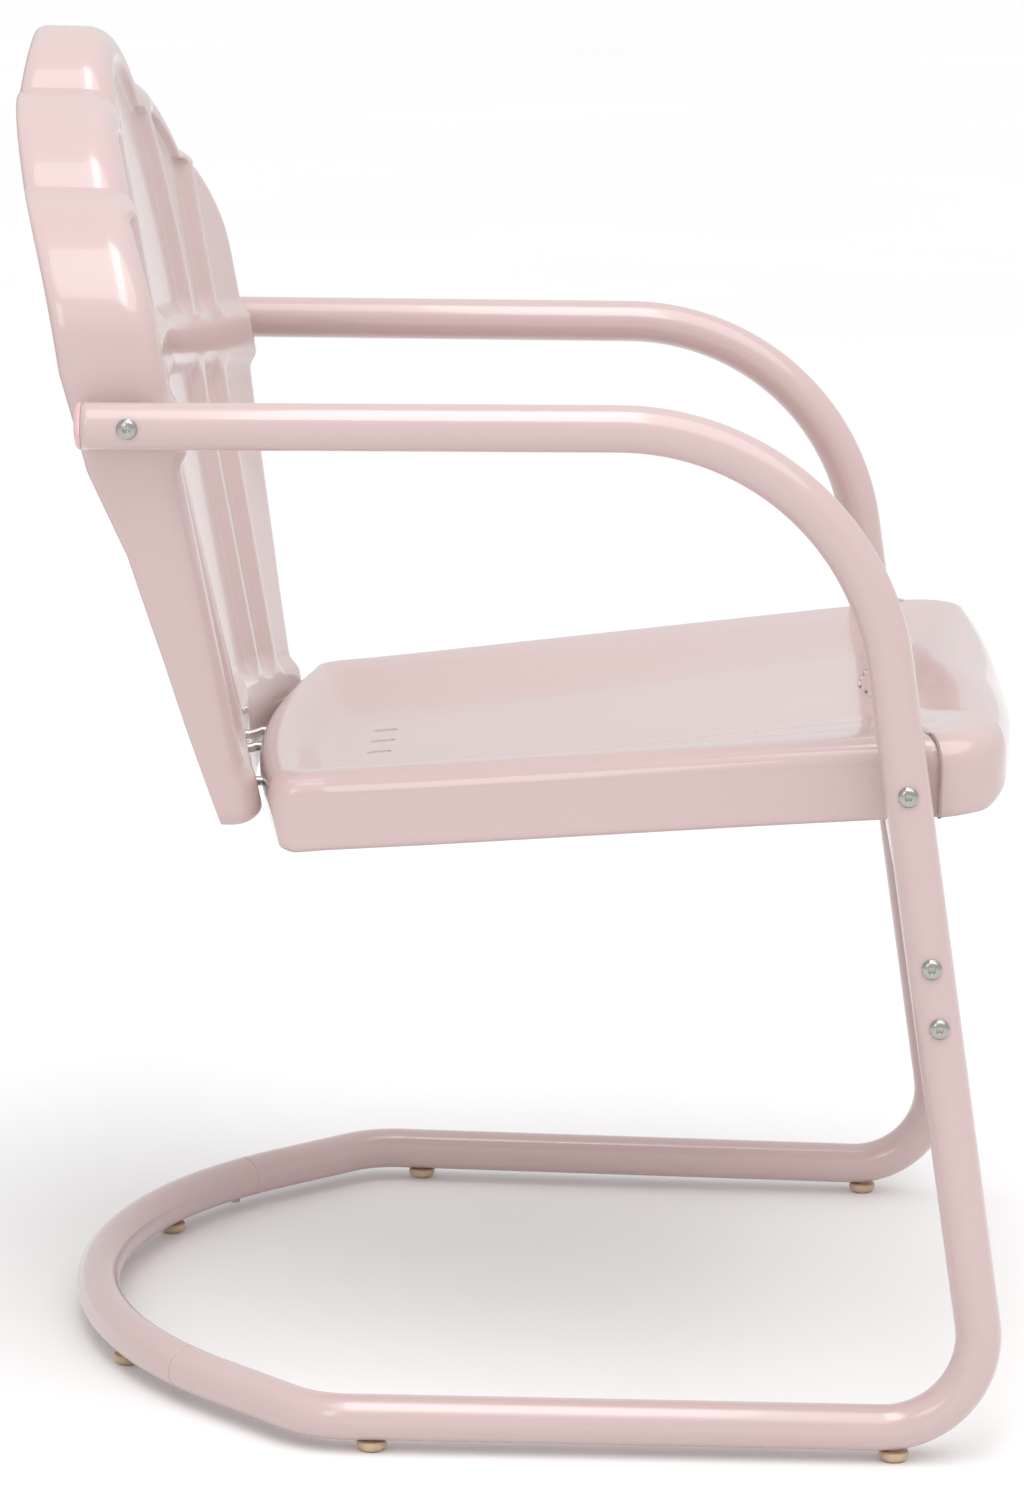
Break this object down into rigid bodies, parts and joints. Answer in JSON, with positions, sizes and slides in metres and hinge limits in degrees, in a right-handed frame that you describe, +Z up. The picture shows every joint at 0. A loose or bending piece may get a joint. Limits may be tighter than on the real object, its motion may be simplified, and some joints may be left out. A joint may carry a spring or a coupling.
{
  "type": "cantilever patio armchair",
  "caption": "Springy steel patio armchair with a scalloped shell back, a dished seat and bent tube arms that run down into a closed floor loop.",
  "frame": {"origin": "on the floor, under the middle of the chair's bounding box", "axes": "+Z up; the chair faces -Y; +X is the sitter's left"},
  "size_m": [0.626, 0.6423, 0.855],
  "materials": {
    "pink_paint": "glossy powder coat, pale pink",
    "chrome_hardware": "bright plated",
    "foot_plastic": "satin, slightly translucent tan",
    "cap_plastic": "satin pink",
    "bare_steel": "plain drawn steel"
  },
  "bodies": {
    "base": {"left_flex_bend": "pink_paint", "right_flex_bend": "pink_paint", "left_base_rail": "pink_paint", "right_base_rail": "pink_paint", "rear_loop_tube": "pink_paint", "left_loop_sleeve": "bare_steel", "right_loop_sleeve": "bare_steel", "loop_screws": "chrome_hardware", "left_front_foot": "foot_plastic", "right_front_foot": "foot_plastic", "left_middle_foot": "foot_plastic", "right_middle_foot": "foot_plastic", "left_rear_foot": "foot_plastic", "right_rear_foot": "foot_plastic"},
    "seat_frame": {"back_shell": "pink_paint", "seat_shell": "pink_paint", "left_arm_leg_tube": "pink_paint", "right_arm_leg_tube": "pink_paint", "front_stretcher_tube": "pink_paint", "left_stretcher_bracket": "pink_paint", "right_stretcher_bracket": "pink_paint", "left_arm_end_cap": "cap_plastic", "right_arm_end_cap": "cap_plastic", "arm_bolts": "chrome_hardware", "arm_spacers": "chrome_hardware", "arm_nuts": "chrome_hardware", "seat_bolts": "chrome_hardware", "seat_spacers": "chrome_hardware", "seat_nuts": "chrome_hardware", "stretcher_bolts": "chrome_hardware", "seat_back_bolts": "chrome_hardware", "seat_back_nuts": "chrome_hardware"}
  },
  "joints": [
    {"name": "spring_recline", "type": "hinge", "parent": "base", "child": "seat_frame", "pos_m": [0, -0.2856, 0.0415], "axis": [-1, 0, 0], "range_deg": [-1, 5], "stiffness_Nm_per_rad": 3000, "springref_deg": -0.23, "deforming": ["left_flex_bend", "right_flex_bend"]}
  ]
}
